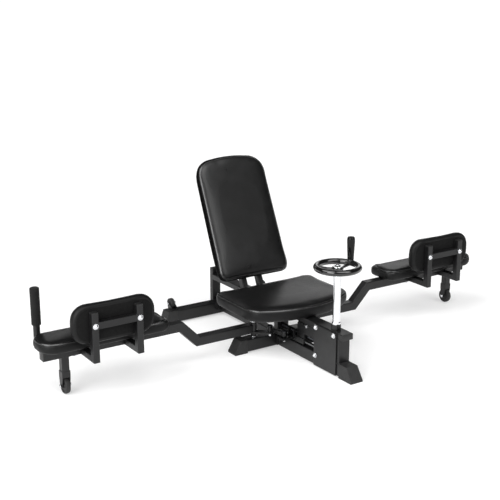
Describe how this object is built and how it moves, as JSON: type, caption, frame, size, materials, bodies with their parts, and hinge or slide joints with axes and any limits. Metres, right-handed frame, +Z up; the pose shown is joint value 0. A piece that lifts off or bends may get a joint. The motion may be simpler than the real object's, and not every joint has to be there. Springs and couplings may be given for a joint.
{
  "type": "leg stretching machine",
  "caption": "Floor-standing leg stretching machine: cushioned seat and backrest on a tube base, padded leg arms on casters opened by a hand wheel and screw.",
  "frame": {"origin": "centre of the bounding box in X and Y, on the floor", "axes": "+X across the machine towards the arm without the grip, +Y towards the backrest, +Z up; the arms stand fully open along X"},
  "size_m": [1.556, 0.7602, 0.5388],
  "materials": {
    "black_paint": "satin powder coat",
    "black_vinyl": "grained vinyl",
    "foot_rubber": "matte",
    "wheel_rubber": "matte",
    "chrome": "polished",
    "zinc_steel": "zinc plated",
    "gloss_plastic": "gloss",
    "plug_plastic": "matte",
    "foam_rubber": "matte foam"
  },
  "bodies": {
    "base": {"main_beam": "black_paint", "rear_cross_beam": "black_paint", "front_foot_cap": "foot_rubber", "rear_upright": "black_paint", "upright_plug": "plug_plastic", "seat_rail": "black_paint", "front_column": "black_paint", "gearbox_bolt_upper_rear": "chrome", "gearbox_bolt_upper_front": "chrome", "gearbox_bolt_lower": "chrome", "screw_front_bearing": "black_paint", "screw_rear_bearing": "black_paint", "post_bush": "black_paint", "seat_pad": "black_vinyl", "backrest_pad": "black_vinyl", "backrest_frame": "black_paint", "backrest_bolt": "chrome", "mid_cross_beam_left": "black_paint", "mid_foot_cap_left": "foot_rubber", "rear_foot_cap_left": "foot_rubber", "gearbox_plate_left": "black_paint", "transport_fork_left": "black_paint", "pivot_bolt_left": "chrome", "mid_cross_beam_right": "black_paint", "mid_foot_cap_right": "foot_rubber", "rear_foot_cap_right": "foot_rubber", "gearbox_plate_right": "black_paint", "transport_fork_right": "black_paint", "pivot_bolt_right": "chrome"},
    "left_arm": {"leg_arm_left": "black_paint", "side_pad_frame_left": "black_paint", "side_pad_bolt_inner_left": "chrome", "side_pad_bolt_outer_left": "chrome", "side_pad_left": "black_vinyl", "calf_pad_left": "black_vinyl", "calf_pad_bolt_inner_left": "chrome", "calf_pad_bolt_outer_left": "chrome", "caster_fork_left": "black_paint", "grip_post": "black_paint", "foam_grip": "foam_rubber"},
    "right_arm": {"leg_arm_right": "black_paint", "side_pad_frame_right": "black_paint", "side_pad_bolt_inner_right": "chrome", "side_pad_bolt_outer_right": "chrome", "side_pad_right": "black_vinyl", "calf_pad_right": "black_vinyl", "calf_pad_bolt_inner_right": "chrome", "calf_pad_bolt_outer_right": "chrome", "caster_fork_right": "black_paint"},
    "left_link": {"link_left": "zinc_steel"},
    "right_link": {"link_right": "zinc_steel"},
    "carriage": {"carriage": "black_paint"},
    "lead_screw": {"lead_screw": "zinc_steel"},
    "hand_wheel": {"handwheel_post": "chrome", "handwheel": "gloss_plastic"},
    "crank_handle": {"crank_handle": "gloss_plastic"},
    "left_caster_wheel": {"caster_wheel_left": "wheel_rubber"},
    "right_caster_wheel": {"caster_wheel_right": "wheel_rubber"},
    "left_transport_wheel": {"transport_wheel_left": "wheel_rubber"},
    "right_transport_wheel": {"transport_wheel_right": "wheel_rubber"}
  },
  "joints": [
    {"name": "left_arm_swing", "type": "hinge", "parent": "base", "child": "left_arm", "pos_m": [-0.094, -0.00465, 0.0658], "axis": [0, 0, 1], "range_deg": [0, 70]},
    {"name": "right_arm_swing", "type": "hinge", "parent": "base", "child": "right_arm", "pos_m": [0.094, -0.00465, 0.0658], "axis": [0, 0, 1], "range_deg": [-70, 0]},
    {"name": "left_link_pivot", "type": "hinge", "parent": "left_arm", "child": "left_link", "pos_m": [-0.05704, -0.03712, 0.0665], "axis": [0, 0, 1], "range_deg": [-70, 0]},
    {"name": "right_link_pivot", "type": "hinge", "parent": "right_arm", "child": "right_link", "pos_m": [0.05704, -0.03712, 0.0665], "axis": [0, 0, 1], "range_deg": [0, 70]},
    {"name": "carriage_slide", "type": "slide", "parent": "base", "child": "carriage", "axis": [0, 1, 0], "range_m": [0, 0.0561]},
    {"name": "lead_screw_spin", "type": "hinge", "parent": "base", "child": "lead_screw", "pos_m": [0, -0.14715, 0.066], "axis": [0, 1, 0], "range_deg": [-2020, 0]},
    {"name": "hand_wheel_spin", "type": "hinge", "parent": "base", "child": "hand_wheel", "pos_m": [0, -0.28215, 0.2], "axis": [0, 0, 1], "range_deg": [0, 2020]},
    {"name": "crank_handle_spin", "type": "hinge", "parent": "hand_wheel", "child": "crank_handle", "pos_m": [0.05744, -0.2674, 0.35], "axis": [0, 0, 1], "continuous": true},
    {"name": "left_caster_spin", "type": "hinge", "parent": "left_arm", "child": "left_caster_wheel", "pos_m": [-0.701, 0.00285, 0.0233], "axis": [1, 0, 0], "continuous": true},
    {"name": "right_caster_spin", "type": "hinge", "parent": "right_arm", "child": "right_caster_wheel", "pos_m": [0.701, 0.00285, 0.0233], "axis": [1, 0, 0], "continuous": true},
    {"name": "left_transport_spin", "type": "hinge", "parent": "base", "child": "left_transport_wheel", "pos_m": [-0.178, 0.35485, 0.059], "axis": [1, 0, 0], "continuous": true},
    {"name": "right_transport_spin", "type": "hinge", "parent": "base", "child": "right_transport_wheel", "pos_m": [0.178, 0.35485, 0.059], "axis": [1, 0, 0], "continuous": true}
  ],
  "couplings": [
    {"joint": "right_arm_swing", "follows": "left_arm_swing", "ratio": -1},
    {"joint": "left_link_pivot", "follows": "left_arm_swing", "ratio": -1},
    {"joint": "right_link_pivot", "follows": "left_arm_swing", "ratio": 1},
    {"joint": "carriage_slide", "follows": "left_arm_swing", "m_per_rad": 0.045918},
    {"joint": "lead_screw_spin", "follows": "left_arm_swing", "ratio": -28.851},
    {"joint": "hand_wheel_spin", "follows": "left_arm_swing", "ratio": 28.851}
  ]
}
